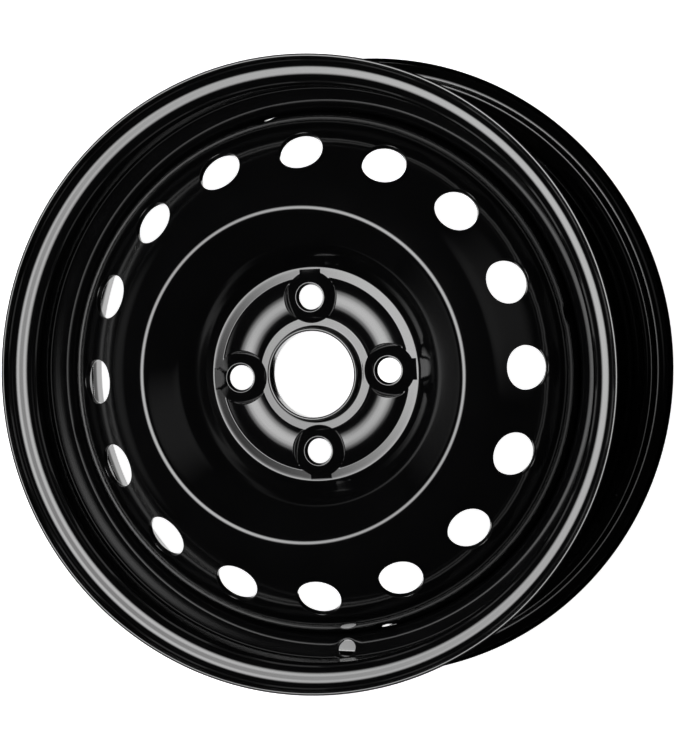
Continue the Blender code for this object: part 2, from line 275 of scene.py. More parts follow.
# %% Build the shared enamel group
def enamel_group():
    """Surface of stoved enamel: a cloud mask, a roughness and a bumped normal."""
    group = bpy.data.node_groups.new("stoved_enamel", "ShaderNodeTree")
    inputs = {"Gloss": 0.1, "Peel Scale": 420.0, "Peel Depth": 0.00001, "Swell Depth": 0.0001}
    for name, value in inputs.items():
        socket = group.interface.new_socket(name, in_out="INPUT", socket_type="NodeSocketFloat")
        socket.default_value = value
    group.interface.new_socket("Cloud", in_out="OUTPUT", socket_type="NodeSocketFloat")
    group.interface.new_socket("Roughness", in_out="OUTPUT", socket_type="NodeSocketFloat")
    group.interface.new_socket("Normal", in_out="OUTPUT", socket_type="NodeSocketVector")
    nodes, links = group.nodes, group.links
    entry = nodes.new("NodeGroupInput")
    leave = nodes.new("NodeGroupOutput")
    place = nodes.new("ShaderNodeTexCoord")
    noises = {}
    for name, scale, detail in (("peel", 420.0, 1.0), ("swell", 14.0, 2.0), ("cloud", 38.0, 5.0)):
        noise = nodes.new("ShaderNodeTexNoise")
        noise.inputs["Scale"].default_value = scale
        noise.inputs["Detail"].default_value = detail
        links.new(place.outputs["Object"], noise.inputs["Vector"])
        noises[name] = noise
    links.new(entry.outputs["Peel Scale"], noises["peel"].inputs["Scale"])
    bumps = {}
    for name, depth in (("swell", "Swell Depth"), ("peel", "Peel Depth")):
        bump = nodes.new("ShaderNodeBump")
        links.new(noises[name].outputs["Fac"], bump.inputs["Height"])
        links.new(entry.outputs[depth], bump.inputs["Distance"])
        bumps[name] = bump
    links.new(bumps["swell"].outputs["Normal"], bumps["peel"].inputs["Normal"])
    haze = nodes.new("ShaderNodeMapRange")
    haze.inputs["From Min"].default_value = 0.3
    haze.inputs["From Max"].default_value = 0.7
    haze.inputs["To Min"].default_value = 0.8
    haze.inputs["To Max"].default_value = 1.25
    links.new(noises["cloud"].outputs["Fac"], haze.inputs["Value"])
    gloss = nodes.new("ShaderNodeMath")
    gloss.operation = "MULTIPLY"
    links.new(haze.outputs["Result"], gloss.inputs[0])
    links.new(entry.outputs["Gloss"], gloss.inputs[1])
    links.new(noises["cloud"].outputs["Fac"], leave.inputs["Cloud"])
    links.new(gloss.outputs["Value"], leave.inputs["Roughness"])
    links.new(bumps["peel"].outputs["Normal"], leave.inputs["Normal"])
    return group


STOVED_ENAMEL = enamel_group()


def enamel(name, dark, light, gloss, peel_depth, swell_depth):
    """Black enamel for one piece, with its own gloss and depth of ripple."""
    material = bpy.data.materials.new(name)
    material.use_nodes = True
    nodes, links = material.node_tree.nodes, material.node_tree.links
    shader = nodes["Principled BSDF"]
    shader.inputs["IOR"].default_value = 1.2
    shader.inputs["Coat Weight"].default_value = 1.0
    shader.inputs["Coat Roughness"].default_value = 0.08
    shader.inputs["Coat IOR"].default_value = 1.5
    surface = nodes.new("ShaderNodeGroup")
    surface.node_tree = STOVED_ENAMEL
    surface.inputs["Gloss"].default_value = gloss
    surface.inputs["Peel Depth"].default_value = peel_depth
    surface.inputs["Swell Depth"].default_value = swell_depth
    tint = nodes.new("ShaderNodeMix")
    tint.data_type = "RGBA"
    tint.inputs[6].default_value = (*dark, 1.0)
    tint.inputs[7].default_value = (*light, 1.0)
    links.new(surface.outputs["Cloud"], tint.inputs[0])
    links.new(tint.outputs[2], shader.inputs["Base Color"])
    links.new(surface.outputs["Roughness"], shader.inputs["Roughness"])
    links.new(surface.outputs["Normal"], shader.inputs["Normal"])
    return material


BLACK_DARK, BLACK_LIGHT = (0.0016, 0.0016, 0.0018), (0.0034, 0.0034, 0.0036)
WELD_DARK, WELD_LIGHT = (0.003, 0.003, 0.0033), (0.008, 0.0076, 0.007)
gloss_black = enamel("gloss_black_enamel", BLACK_DARK, BLACK_LIGHT, 0.14, 0.000004, 0.00006)
weld_black = enamel("weld_black_enamel", WELD_DARK, WELD_LIGHT, 0.28, 0.00002, 0.0001)

# %% [markdown]
# ## The rim
# The contour is the standard one of a 15 inch J rim: a curled lip, the bead seat with its hump, the deep
# well that lets a tyre be fitted, and the ramp back up to the inboard seat. The corners below run along the
# tyre side from the outboard lip to the inboard one. The air side follows at the sheet's thickness. The tilt
# of the well's outboard wall and the bends at its top and foot were tuned to the photograph's highlights.

# %% Write the rim's contour
RIM_SHEET = 0.0023
SEAT_RADIUS = 0.1901
SEAT_WIDTH = 0.0198
SEAT_TAPER = math.radians(5.0)
SEAT_END = SEAT_RADIUS - SEAT_WIDTH * math.tan(SEAT_TAPER)
HUMP_HEIGHT = 0.0016
HUMP_LENGTH = 0.0090
HUMP_BEND = 0.0050
WELL_DEPTH = 0.0173
WELL_WIDTH = 0.0331
WALL_TILT = math.radians(20.8)
RAMP_TILT = math.radians(28.0)
WELL_RADIUS = SEAT_RADIUS - WELL_DEPTH
LIP = 0.0120
HALF = (rim_high.z - rim_low.z) / 2 - LIP
HUMP_END = HALF - SEAT_WIDTH - HUMP_LENGTH
WALL_FOOT = HUMP_END - (SEAT_END - WELL_RADIUS) * math.tan(WALL_TILT)
RAMP_FOOT = WALL_FOOT - WELL_WIDTH
RAMP_TOP = RAMP_FOOT - (SEAT_END - WELL_RADIUS) / math.tan(RAMP_TILT)
EDGE_HOLD = 0.0011


def bead_side():
    """Lip, flange, bead seat and hump, from the sheared edge inwards."""
    return [
        (FLANGE_RADIUS, HALF + LIP, 0),
        (FLANGE_RADIUS, HALF + LIP - EDGE_HOLD, 0),
        (FLANGE_RADIUS, HALF, 0.0095),
        (SEAT_RADIUS, HALF, 0.0065),
        (SEAT_END, HALF - SEAT_WIDTH, HUMP_BEND),
        (SEAT_END + HUMP_HEIGHT, HALF - SEAT_WIDTH - HUMP_LENGTH / 2, HUMP_BEND),
    ]


inboard = [(radius, -height, bend) for radius, height, bend in reversed(bead_side())]
well = [
    (SEAT_END, HUMP_END, 0.0060),
    (WELL_RADIUS, WALL_FOOT, 0.0115),
    (WELL_RADIUS, RAMP_FOOT, 0.0140),
    (SEAT_END, RAMP_TOP, 0.0140),
    (SEAT_END, -HUMP_END, HUMP_BEND),
]
rim_outer = bent_path(bead_side() + well + inboard)
rim_section = Section(rim_outer, right_of(rim_outer, RIM_SHEET))
print(f"rim section: {len(rim_outer)} rows, {1000 * rim_section.reaches[-1]:.1f} mm of strip")

# %% [markdown]
# The valve hole goes through the well's outboard wall. The wall is too short for it, so the press coins a
# small flat round the hole first. In the strip that is a round patch: rings are drawn in to the hole, and
# when the strip is rolled, points near the hole are pulled onto the flat. The hole's angle follows the solid.
# The photograph has it 2.8 degrees less far round, and the drain hollows too.

# %% Punch, roll and coin the rim
VALVE_ANGLE = math.radians(271.9)
VALVE_RADIUS = 0.0059
VALVE_FLAT = 0.0078
VALVE_FADE = 0.0110
WALL_MIDDLE = (SEAT_END + WELL_RADIUS) / 2
valve_reach = next(
    (low + high) / 2
    for low, high, here, after in zip(rim_section.reaches, rim_section.reaches[1:], rim_outer, rim_outer[1:])
    if here.x > WALL_MIDDLE >= after.x)
valve_seat = rim_section.point(valve_reach, 0)
VALVE_RUN = (rim_section.point(valve_reach + 0.0005, 0) - valve_seat).normalized()
VALVE_ACROSS = Vector((VALVE_RUN.y, -VALVE_RUN.x))


def valve_local(co):
    """A strip point as true offsets from the valve hole's centre."""
    radius = rim_section.point(co.y, 0).x
    return Vector((radius * (co.x - VALVE_ANGLE), co.y - valve_reach))


def valve_strip(local):
    """The strip point at an offset from the valve hole's centre."""
    reach = valve_reach + local.y
    return Vector((VALVE_ANGLE + local.x / rim_section.point(reach, 0).x, reach, 0.0))


def rolled_point(radius, angle, height):
    """A (radius, height) of a section at an angle round the wheel."""
    return Vector((radius * math.cos(angle), radius * math.sin(angle), height))


def coined_point(local, side):
    """The place of a strip point on the flat that is coined round the valve hole."""
    section = valve_seat + VALVE_RUN * local.y + VALVE_ACROSS * (RIM_SHEET * side)
    along = Vector((-math.sin(VALVE_ANGLE), math.cos(VALVE_ANGLE), 0.0))
    return rolled_point(section.x, VALVE_ANGLE, section.y) + along * local.x


def roll_rim(bm):
    """Roll the flat strip into the rim, with the coined flat at the valve hole."""
    for vert in bm.verts:
        angle, reach, side = vert.co
        section = rim_section.point(reach, side)
        place = rolled_point(section.x, angle, section.y)
        local = valve_local(vert.co)
        if local.length < VALVE_FADE:
            share = min((VALVE_FADE - local.length) / (VALVE_FADE - VALVE_FLAT), 1.0)
            place = place.lerp(coined_point(local, side), share * share * (3 - 2 * share))
        vert.co = place
    bmesh.ops.translate(bm, verts=bm.verts, vec=(0.0, 0.0, RIM_MIDDLE))


def make_rim():
    """The rolled strip with its valve hole."""
    bm = flat_strip(rim_section.reaches)
    centre = round(VALVE_ANGLE / PITCH) * PITCH
    low = (centre - 3.0 * PITCH, valve_reach - 0.0115)
    high = (centre + 3.0 * PITCH, valve_reach + 0.0115)
    ring = punch(bm, low, high)
    laws = [toward(VALVE_FLAT, share) for share in (0.75, 0.66, 0.5)]
    laws += [set_to(radius) for radius in (VALVE_FLAT, VALVE_RADIUS + 0.0007, VALVE_RADIUS)]
    for law in laws:
        ring = draw_in(bm, ring, valve_local, valve_strip, law)
    thicken(bm)
    roll_rim(bm)
    close_and_round(bm, lambda place: place.xy.length > 0.2)
    return finished("rolled_rim", bm, gloss_black)


rolled_rim = make_rim()
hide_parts("rim")

# %% [markdown]
# ## The disc's section
# The disc is one pressing. From the bore outwards it has the collar that centres the wheel, the flat pad
# that the bolts clamp, a dish that gives the offset, a rounded crown, the sloping band with the vents, and
# the skirt that is welded into the rim. The skirt is pressed tight into the well, so no light comes through
# between the two sheets except at the drain hollows. The bends at the pad's edge, the shoulder and the skirt
# were tuned to the photograph's highlights.

# %% Write the disc's section
DISC_SHEET = 0.0035
BORE_RADIUS = 0.02805
COLLAR_RADIUS = BORE_RADIUS + 0.0023
COLLAR_TOP = DISC_SHEET + 0.0080
COLLAR_ROOT = 0.0015
BORE_ROUNDING = 0.0025
PAD_RADIUS = 0.0701
PRESS_FIT = 0.00003
SKIRT_RADIUS = WELL_RADIUS - RIM_SHEET - PRESS_FIT
SHOULDER_STEP = 0.0142
SHOULDER_SLOPE = math.radians(52.0)
SKIRT_LENGTH = 0.0280
SHOULDER_RADIUS = SKIRT_RADIUS - SHOULDER_STEP
BAND = SHOULDER_RADIUS - PAD_RADIUS
BROW_RADIUS = PAD_RADIUS + BAND * 0.6333
BROW_HEIGHT = 0.0319
VENT_SLOPE = math.radians(37.0)
SHOULDER_HEIGHT = BROW_HEIGHT - (SHOULDER_RADIUS - BROW_RADIUS) * math.tan(VENT_SLOPE)
SKIRT_TOP = SHOULDER_HEIGHT - SHOULDER_STEP * math.tan(SHOULDER_SLOPE)
SKIRT_FOOT = SKIRT_TOP - SKIRT_LENGTH
ROOT_STEPS = 9

collar_front = [Vector((COLLAR_RADIUS, COLLAR_TOP)), Vector((COLLAR_RADIUS, COLLAR_TOP - EDGE_HOLD))]
collar_front += straight_run(collar_front[-1], Vector((COLLAR_RADIUS, DISC_SHEET + COLLAR_ROOT)))
straight = (COLLAR_TOP - BORE_ROUNDING) / (COLLAR_TOP - DISC_SHEET - COLLAR_ROOT)
collar_back = [
    Vector((BORE_RADIUS, COLLAR_TOP - (COLLAR_TOP - point.y) * straight)) for point in collar_front]
for step in range(1, ROOT_STEPS + 1):
    angle = math.pi / 2 * step / ROOT_STEPS
    away = Vector((1 - math.cos(angle), 1 - math.sin(angle)))
    collar_front.append(Vector((COLLAR_RADIUS, DISC_SHEET)) + COLLAR_ROOT * away)
    collar_back.append(Vector((BORE_RADIUS, 0.0)) + BORE_ROUNDING * away)

pressed = bent_path([
    (*collar_front[-1], 0),
    (PAD_RADIUS, DISC_SHEET, 0.0022),
    (PAD_RADIUS + BAND * 0.1851, 0.0222, 0.0300),
    (PAD_RADIUS + BAND * 0.4319, 0.0377, 0.0060),
    (BROW_RADIUS, BROW_HEIGHT, 0.0450),
    (SHOULDER_RADIUS, SHOULDER_HEIGHT, 0.0700),
    (SKIRT_RADIUS, SKIRT_TOP, 0.0360),
    (SKIRT_RADIUS, SKIRT_FOOT + EDGE_HOLD, 0),
    (SKIRT_RADIUS, SKIRT_FOOT, 0),
])
disc_section = Section(collar_front + pressed[1:], collar_back + right_of(pressed, DISC_SHEET)[1:])
PAD_START = disc_section.reaches[len(collar_front) - 1]
PAD_END = next(
    reach for reach, point in zip(disc_section.reaches, disc_section.outer)
    if reach > PAD_START and point.x > 0.0691)
print(f"disc section: {1000 * disc_section.reaches[-1]:.1f} mm of strip, pad ends at {1000 * PAD_END:.1f}")

# %% [markdown]
# ## Rows that fit the bosses
# Four raised arcs lie on the pad, and each ends in a crisp hollow where a round boss stands. Those edges
# show in the highlights, so the mesh has to follow them. Rows at constant radius run from boss to boss, and
# every row stops on the boss's circle. Columns under and over a boss end on its outline, which is a circle
# with a short key that points away from the hub.

# %% Lay out the pad's rows and columns
BOLT_CIRCLE = 0.0500
BOSS_FOOT = 0.0169
BOSS_TOP = 0.0097
SEAT_TOP = 0.00935
HOLE_RADIUS = 0.0080
BOSS_RISE = 0.0032
BOSS_MOUTH = 0.0150
KEY_HALF = 0.0070
KEY_END = 0.0181
ARC_START = 0.0370
ARC_STOP = 0.06325
ARC_ROWS = 32
CREASE = 0.0008
INNER_ROWS = 6
OUTER_ROWS = 7
QUARTER = COLUMNS // 4
BOSS_COLUMNS = 9
WALL_STEPS = (0.0, 0.00025, 0.0005, 0.0011)


def foot_distance(angle):
    """Distance from the bolt hole's centre to the boss's outline, at an angle from the outward line."""
    angle = abs(math.remainder(angle, 2 * math.pi))
    if angle < math.atan2(KEY_HALF, KEY_END):
        return KEY_END / math.cos(angle)
    if angle < math.asin(KEY_HALF / BOSS_FOOT):
        return KEY_HALF / math.sin(angle)
    return BOSS_FOOT


def circle_angle(radius, distance):
    """Angle at the hub between a boss's centre and the point of a circle about it at a radius."""
    cosine = (radius ** 2 + BOLT_CIRCLE ** 2 - distance ** 2) / (2 * radius * BOLT_CIRCLE)
    return math.acos(min(1.0, cosine))


def arc_angle(columns, radius):
    """Angle from a boss's centre line, for a column past the boss, on a row that ends on the boss."""
    step = columns - BOSS_COLUMNS
    if step < len(WALL_STEPS):
        return circle_angle(radius, BOSS_FOOT + WALL_STEPS[step])
    start = circle_angle(radius, BOSS_FOOT + WALL_STEPS[-1])
    past = len(WALL_STEPS) - 1
    share = (step - past) / (QUARTER // 2 - BOSS_COLUMNS - past)
    return start + (math.pi / 4 - start) * share


def under_boss(columns):
    """(radius, angle) on the hub's side of a boss's circle, for a column under the boss."""
    angle = circle_angle(ARC_START, BOSS_FOOT) * columns / BOSS_COLUMNS
    run = BOLT_CIRCLE * math.cos(angle)
    return run - math.sqrt(BOSS_FOOT ** 2 - (BOLT_CIRCLE * math.sin(angle)) ** 2), angle


def over_boss(columns):
    """(radius, angle) on the outer side of a boss's outline, with the key, for a column over the boss."""
    corner = circle_angle(ARC_STOP, BOSS_FOOT)
    corner_turn = math.atan2(ARC_STOP * math.sin(corner), ARC_STOP * math.cos(corner) - BOLT_CIRCLE)
    key_root = math.asin(KEY_HALF / BOSS_FOOT)
    if columns <= 4:
        local = Vector((KEY_END, KEY_HALF * columns / 4))
    else:
        turn = key_root + (corner_turn - key_root) * (columns - 5) / (BOSS_COLUMNS - 5)
        local = Vector((BOSS_FOOT * math.cos(turn), BOSS_FOOT * math.sin(turn)))
    local.x += BOLT_CIRCLE
    return local.length, math.atan2(local.y, local.x)


def arc_radius(row):
    """Radius of a row between the bosses, with two fine rows at the outer ring's crisp edge."""
    if row > ARC_ROWS - 2:
        return ARC_STOP - CREASE * (ARC_ROWS - row) / 2
    return ARC_START + (ARC_STOP - CREASE - ARC_START) * row / (ARC_ROWS - 2)


def pad_place(column, row):
    """(radius, angle) of a pad vertex, with rows counted from the collar's root."""
    boss = round(column / QUARTER)
    columns = abs(column - boss * QUARTER)
    past_boss = columns >= BOSS_COLUMNS
    over = row - INNER_ROWS - ARC_ROWS
    if row <= INNER_ROWS:
        low = disc_section.point(PAD_START, 0).x
        high, angle = (ARC_START, arc_angle(columns, ARC_START)) if past_boss else under_boss(columns)
        radius = low + (high - low) * row / INNER_ROWS
    elif over < 0:
        radius = arc_radius(row - INNER_ROWS)
        angle = arc_angle(columns, radius)
    else:
        high = disc_section.point(PAD_END, 0).x
        low, start = (ARC_STOP, arc_angle(columns, ARC_STOP)) if past_boss else over_boss(columns)
        share = (over / OUTER_ROWS) ** 1.4
        radius = low + (high - low) * share
        angle = start + (columns * PITCH - start) * share
    side = 1 if column > boss * QUARTER else -1
    return radius, boss * math.pi / 2 + side * angle


# %% [markdown]
# ## The vents
# Sixteen round vents are punched in the sloping band. They stand a little off the bolt holes' lines, so the
# strip is given a slow twist between the pad and the crown, which brings a column to every vent's centre.

# %% Place the vents and all the rows in the strip
VENT_RADIUS = 0.0145
VENT_TURN = math.radians(-0.9)
VENT_COLUMNS = COLUMNS // 16
VENT_BLOCK = 6
VENT_ROW = 0.0033
VENT_SET_BACK = 0.0107
TWIST_RUN = 0.0450
band_end = disc_section.reaches[-1] - 0.03
vent_reach = disc_section.reach_at_radius(SHOULDER_RADIUS - VENT_SET_BACK, PAD_END, band_end)
vent_rows = [vent_reach + index * VENT_ROW for index in range(-VENT_BLOCK - 1, VENT_BLOCK + 2)]
collar_rows = disc_section.reaches[:len(collar_front)]
PAD_ROWS = INNER_ROWS + ARC_ROWS + OUTER_ROWS
pad_rows = [PAD_START + (PAD_END - PAD_START) * row / PAD_ROWS for row in range(1, PAD_ROWS + 1)]
dish_rows = [reach for reach in disc_section.reaches if PAD_END + 1e-6 < reach < vent_rows[0] - 0.0006]
skirt_rows = [reach for reach in disc_section.reaches if reach > vent_rows[-1] + 0.0006]
disc_rows = collar_rows + pad_rows + dish_rows + vent_rows + skirt_rows
print(f"disc rows: {len(disc_rows)}")


def twist(reach):
    """Turn of the strip at a reach, from none on the pad to the vents' turn at the crown."""
    share = min(max((reach - PAD_END) / TWIST_RUN, 0.0), 1.0)
    return VENT_TURN * share * share * (3 - 2 * share)


def lay_out(bm):
    """Move the strip's vertices to the pad's layout and give the rest its twist."""
    first = len(collar_front) - 1
    for vert in bm.verts:
        column = round(vert.co.x / PITCH)
        row = min(range(len(disc_rows)), key=lambda index: abs(disc_rows[index] - vert.co.y))
        if row <= first:
            vert.co.x = pad_place(column, 0)[1]
        elif row <= first + PAD_ROWS:
            radius, angle = pad_place(column, row - first)
            vert.co = (angle, disc_section.reach_at_radius(radius, PAD_START, PAD_END + 0.001), 0.0)
        else:
            vert.co.x = column * PITCH + twist(vert.co.y)


def vent_frame(number):
    """Two maps between the strip and true offsets from a vent's centre."""
    angle = number * math.pi / 8 + VENT_TURN

    def to_local(co):
        radius = disc_section.point(co.y, 0).x
        return Vector((radius * (co.x - angle), co.y - vent_reach))

    def to_strip(local):
        reach = vent_reach + local.y
        return Vector((angle + local.x / disc_section.point(reach, 0).x, reach, 0.0))

    return to_local, to_strip


def boss_frame(number):
    """Two maps between the strip and true offsets from a bolt hole's centre."""
    angle = number * math.pi / 2

    def to_local(co):
        radius = disc_section.point(co.y, 0).x
        turn = co.x - angle
        return Vector((radius * math.cos(turn) - BOLT_CIRCLE, radius * math.sin(turn)))

    def to_strip(local):
        out = local.x + BOLT_CIRCLE
        reach = disc_section.reach_at_radius(math.hypot(out, local.y), PAD_START, PAD_END + 0.001)
        return Vector((angle + math.atan2(local.y, out), reach, 0.0))

    return to_local, to_strip


# %% [markdown]
# ## Pressing the pad
# After the strip is rolled, the pad gets its relief. An arc's section is a low crown between two crisp
# creases, and a fine groove runs inside the outer ring, which falls a little towards the dish. A boss is a
# cone that rises to a narrow land round the cone seat of the bolt. It is hollow underneath, so only the
# outer ring of the pad bears on the hub. The arcs' crown, the groove and the ring's fall are on the front
# only, and were chosen because they give the photograph's highlights. The solid has a plain low plateau.

# %% Heights of arcs, bosses and drain hollows
GROOVE = 0.0005
arc_profile = bent_path([
    (0.0350, 0, 0),
    (ARC_START, 0, 0),
    (0.0484, 0.00444, 0.0300),
    (ARC_STOP - CREASE, -GROOVE, 0),
    (ARC_STOP, 0, 0),
    (0.0700, 0, 0),
])
RING_FALL = 0.0005
RING_FOOT = 0.0688
DRAIN_ANGLE = math.radians(280.4)
DRAIN_HALF = 0.0065
DRAIN_DEPTH = 0.0012


def arc_height(radius):
    """Height of the raised arcs over the pad at a radius."""
    for start, end in zip(arc_profile, arc_profile[1:]):
        if start.x <= radius <= end.x:
            return start.lerp(end, (radius - start.x) / (end.x - start.x)).y
    return 0.0


def ring_height(radius):
    """Fall of the pad's outer ring towards the dish, faded out up the dish's wall."""
    down = min(max((radius - ARC_STOP) / (RING_FOOT - ARC_STOP), 0.0), 1.0)
    back = min(max((radius - RING_FOOT - 0.002) / 0.012, 0.0), 1.0)
    return -RING_FALL * down * (1 - back)


def boss_height(local, side):
    """Height of a boss at an offset from its bolt hole, on its front or in the hollow behind it."""
    distance = local.length
    if side > 0.5:
        return max(0.0, (BOSS_MOUTH - distance) * BOSS_RISE / (BOSS_FOOT - BOSS_TOP))
    foot = foot_distance(math.atan2(local.y, local.x))
    rise = BOSS_RISE * min(max((foot - distance) / (foot - BOSS_TOP), 0.0), 1.0)
    if distance < SEAT_TOP:
        rise -= (SEAT_TOP - distance) / math.tan(math.radians(30.0))
    return rise


def pad_relief(angle, radius, side):
    """What the press adds to the flat pad at a place."""
    boss = round(angle / (math.pi / 2)) * math.pi / 2
    local = Vector((radius * math.cos(angle - boss) - BOLT_CIRCLE, radius * math.sin(angle - boss)))
    past = min(max((local.length - BOSS_FOOT) / WALL_STEPS[2], 0.0), 1.0)
    return arc_height(radius) * past + boss_height(local, side)


def drain_hollow(angle, height):
    """How far the skirt is pushed in at the four drain hollows."""
    turn = math.remainder(angle - DRAIN_ANGLE, math.pi / 2)
    across = min(1.0, abs(turn) * SKIRT_RADIUS / DRAIN_HALF)
    upward = min(max((SKIRT_TOP + 0.0015 - height) / 0.006, 0.0), 1.0)
    return DRAIN_DEPTH * (1 - across * across) * upward * upward * (3 - 2 * upward)


def roll_disc(bm):
    """Roll the strip into the disc and press its relief."""
    for vert in bm.verts:
        angle, reach, side = vert.co
        plan = disc_section.point(reach, 0)
        section = disc_section.point(reach, side)
        if PAD_START <= reach <= PAD_END + 1e-6:
            section.y += pad_relief(angle, plan.x, side)
        if side < 0.5 and reach < disc_rows[len(collar_rows) + PAD_ROWS + 12]:
            section.y += ring_height(plan.x)
        if plan.x > SKIRT_RADIUS - 0.012:
            section.x -= drain_hollow(angle, section.y)
        vert.co = rolled_point(section.x, angle, section.y)
    bmesh.ops.translate(bm, verts=bm.verts, vec=(0.0, 0.0, MOUNT_Z))


def refine_drains(bm):
    """Cut the skirt's cells finer where the drain hollows will be pressed."""
    edges = []
    for edge in bm.edges:
        first, second = edge.verts
        turn = math.remainder((first.co.x + second.co.x) / 2 - DRAIN_ANGLE, math.pi / 2)
        level = abs(first.co.y - second.co.y) < 1e-6
        if level and first.co.y > skirt_rows[0] - 1e-6 and abs(turn) < 2.6 * PITCH:
            edges.append(edge)
    bmesh.ops.subdivide_edges(bm, edges=edges, cuts=2)


# %% Make the disc
def crease(edges):
    """Mark edges as crisp, so that no light runs across them."""
    for edge in edges:
        edge.smooth = False


def crease_row(bm, row):
    """Mark the edges along one row of the pad."""
    reach = disc_rows[len(collar_front) - 1 + row]
    crease(edge for edge in bm.edges if all(abs(vert.co.y - reach) < 1e-6 for vert in edge.verts))


def make_disc():
    """The pressing, from punched strip to rounded edges."""
    bm = flat_strip(disc_rows)
    first = len(collar_front) - 1
    low, high = disc_rows[first + INNER_ROWS], disc_rows[first + INNER_ROWS + ARC_ROWS]
    boss_rings = []
    for number in range(4):
        middle, width = number * QUARTER * PITCH, BOSS_COLUMNS * PITCH
        boss_rings.append(punch(bm, (middle - width, low), (middle + width, high)))
    vent_rings = []
    for number in range(-1, 15):
        middle, width = number * VENT_COLUMNS * PITCH, VENT_BLOCK * PITCH
        vent_rings.append(punch(bm, (middle - width, vent_rows[1]), (middle + width, vent_rows[-2])))
    crease_row(bm, INNER_ROWS)
    crease_row(bm, INNER_ROWS + ARC_ROWS - 2)
    lay_out(bm)
    refine_drains(bm)
    boss_laws = [toward(BOSS_TOP, share) for share in (0.94, 0.78, 0.65, 0.5, 0.35)]
    land_laws = [set_to(radius) for radius in (BOSS_TOP, SEAT_TOP, HOLE_RADIUS)]
    vent_laws = [toward(VENT_RADIUS, 0.62), toward(VENT_RADIUS, 0.45)]
    vent_laws += [set_to(VENT_RADIUS + 0.0007), set_to(VENT_RADIUS)]
    for number, ring in enumerate(boss_rings):
        crease(ring)
        for law in boss_laws:
            ring = draw_in(bm, ring, *boss_frame(number), law)
        for law in land_laws:
            ring = draw_in(bm, ring, *boss_frame(number), law)
            crease(ring)
    for number, ring in enumerate(vent_rings, start=-1):
        for law in vent_laws:
            ring = draw_in(bm, ring, *vent_frame(number), law)
    thicken(bm)
    roll_disc(bm)
    close_and_round(bm, lambda place: place.xy.length < 0.031)
    return finished("pressed_disc", bm, gloss_black)


pressed_disc = make_disc()
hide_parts("wheel_disc")

# %% [markdown]
# ## The welds
# The disc is welded into the well from behind, with eight fillets that leave the drain hollows open. A
# bead laid by a robot is a row of overlapping ripples. Each bead starts as a flat grid too. Its long side
# runs round the skirt's foot and its short side is wrapped round the fillet's section, and a small wave
# along it makes the ripples.

# %% Make the eight weld beads
BEAD_LEG = 0.0042
RIPPLE = 0.0015
BEAD_CORNERS = [Vector((0, 0)), Vector((0, -BEAD_LEG)), Vector((-0.0029, -0.0029)), Vector((-BEAD_LEG, 0))]


def bead_point(share, swell):
    """(radius, height) offset from the corner that the fillet fills, at a share of the way round it."""
    place = share * 4
    index = int(place) % 4
    point = BEAD_CORNERS[index].lerp(BEAD_CORNERS[(index + 1) % 4], place - int(place))
    return point * (1 + swell * point.length / BEAD_LEG)


def make_bead(number):
    """One rippled fillet in the place of its solid."""
    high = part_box(f"weld_bead_{number + 1}")[1]
    column = math.pi / 24
    first = round((DRAIN_ANGLE + (number + 0.1) * math.pi / 4) / column)
    start, sweep = first * column, 5 * column
    length = sweep * SKIRT_RADIUS
    corner = Vector((SKIRT_RADIUS, high.z))
    bm = bmesh.new()
    bmesh.ops.create_grid(bm, x_segments=300, y_segments=12, size=0.5)
    for vert in bm.verts:
        run, share = vert.co.x + 0.5, vert.co.y + 0.5
        near_end = min(run, 1 - run) * length / 0.006
        taper = 0.35 + 0.6 * math.sqrt(min(1.0, near_end))
        wave = 0.035 * math.sin(2 * math.pi * run * length / RIPPLE)
        wander = 0.03 * math.sin(37.0 * run + number)
        point = corner + bead_point(share, wave + wander) * taper
        vert.co = rolled_point(point.x, start + sweep * run, point.y)
    bmesh.ops.remove_doubles(bm, verts=bm.verts, dist=0.000004)
    bmesh.ops.holes_fill(bm, edges=[edge for edge in bm.edges if edge.is_boundary], sides=0)
    bmesh.ops.recalc_face_normals(bm, faces=bm.faces)
    bead = finished(f"rippled_bead_{number + 1}", bm, weld_black)
    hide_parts(f"weld_bead_{number + 1}")


for number in range(8):
    make_bead(number)

# %% [markdown]
# ## Camera
# The photograph was taken with a long lens, a little to the right of the wheel's axis and a little above
# it. Circles of known radius were fitted to the edges in the photograph. That gave a turn of 16.1 degrees, a
# tilt of 2.2 degrees and a distance of 3.39 m to the outboard flange. The last fraction of a millimetre of
# the sideways shift was tuned until the holes' centres met.

# %% Set up the camera
FRONT_PLANE = 0.1643
FOCAL_PIXELS = 5258.936
PICTURE_HEIGHT = 750.0
SENSOR = 36.0
TURN = -0.28058
TILT = 0.03922
ROLL = math.radians(3.357)
CAMERA_SHIFT = Vector((-0.0215, -0.00025, -3.3909896))
camera_data = bpy.data.cameras.new("wheel_camera")
camera_data.sensor_width = SENSOR
camera_data.lens = FOCAL_PIXELS * SENSOR / PICTURE_HEIGHT
camera_data.clip_end = 50.0
camera = bpy.data.objects.new("wheel_camera", camera_data)
bpy.context.scene.collection.objects.link(camera)
bpy.context.scene.camera = camera
turn_y = Matrix.Rotation(TURN, 4, "Y")
turn_x = Matrix.Rotation(TILT, 4, "X")
turn_z = Matrix.Rotation(ROLL, 4, "Z")
to_camera = Matrix.Translation(CAMERA_SHIFT) @ turn_x @ turn_y @ turn_z
to_camera = to_camera @ Matrix.Translation((0, 0, -FRONT_PLANE))
camera.matrix_world = to_camera.inverted()
view_line = (camera.matrix_world.translation - Vector((0, 0, FRONT_PLANE))).normalized()
print("camera line:", [round(value, 3) for value in view_line])

# %% [markdown]
# ## Studio
# Black gloss shows its surroundings and hardly anything else, so the studio is dark. The floor is plain and
# pale, and looks white to the camera and in reflections. Its glow is already full white, so the wheel's
# shadow doesn't show on it. The photograph, cut out on white, shows none either. From below the floor lets
# the camera through, so the wheel's back can be looked at too.

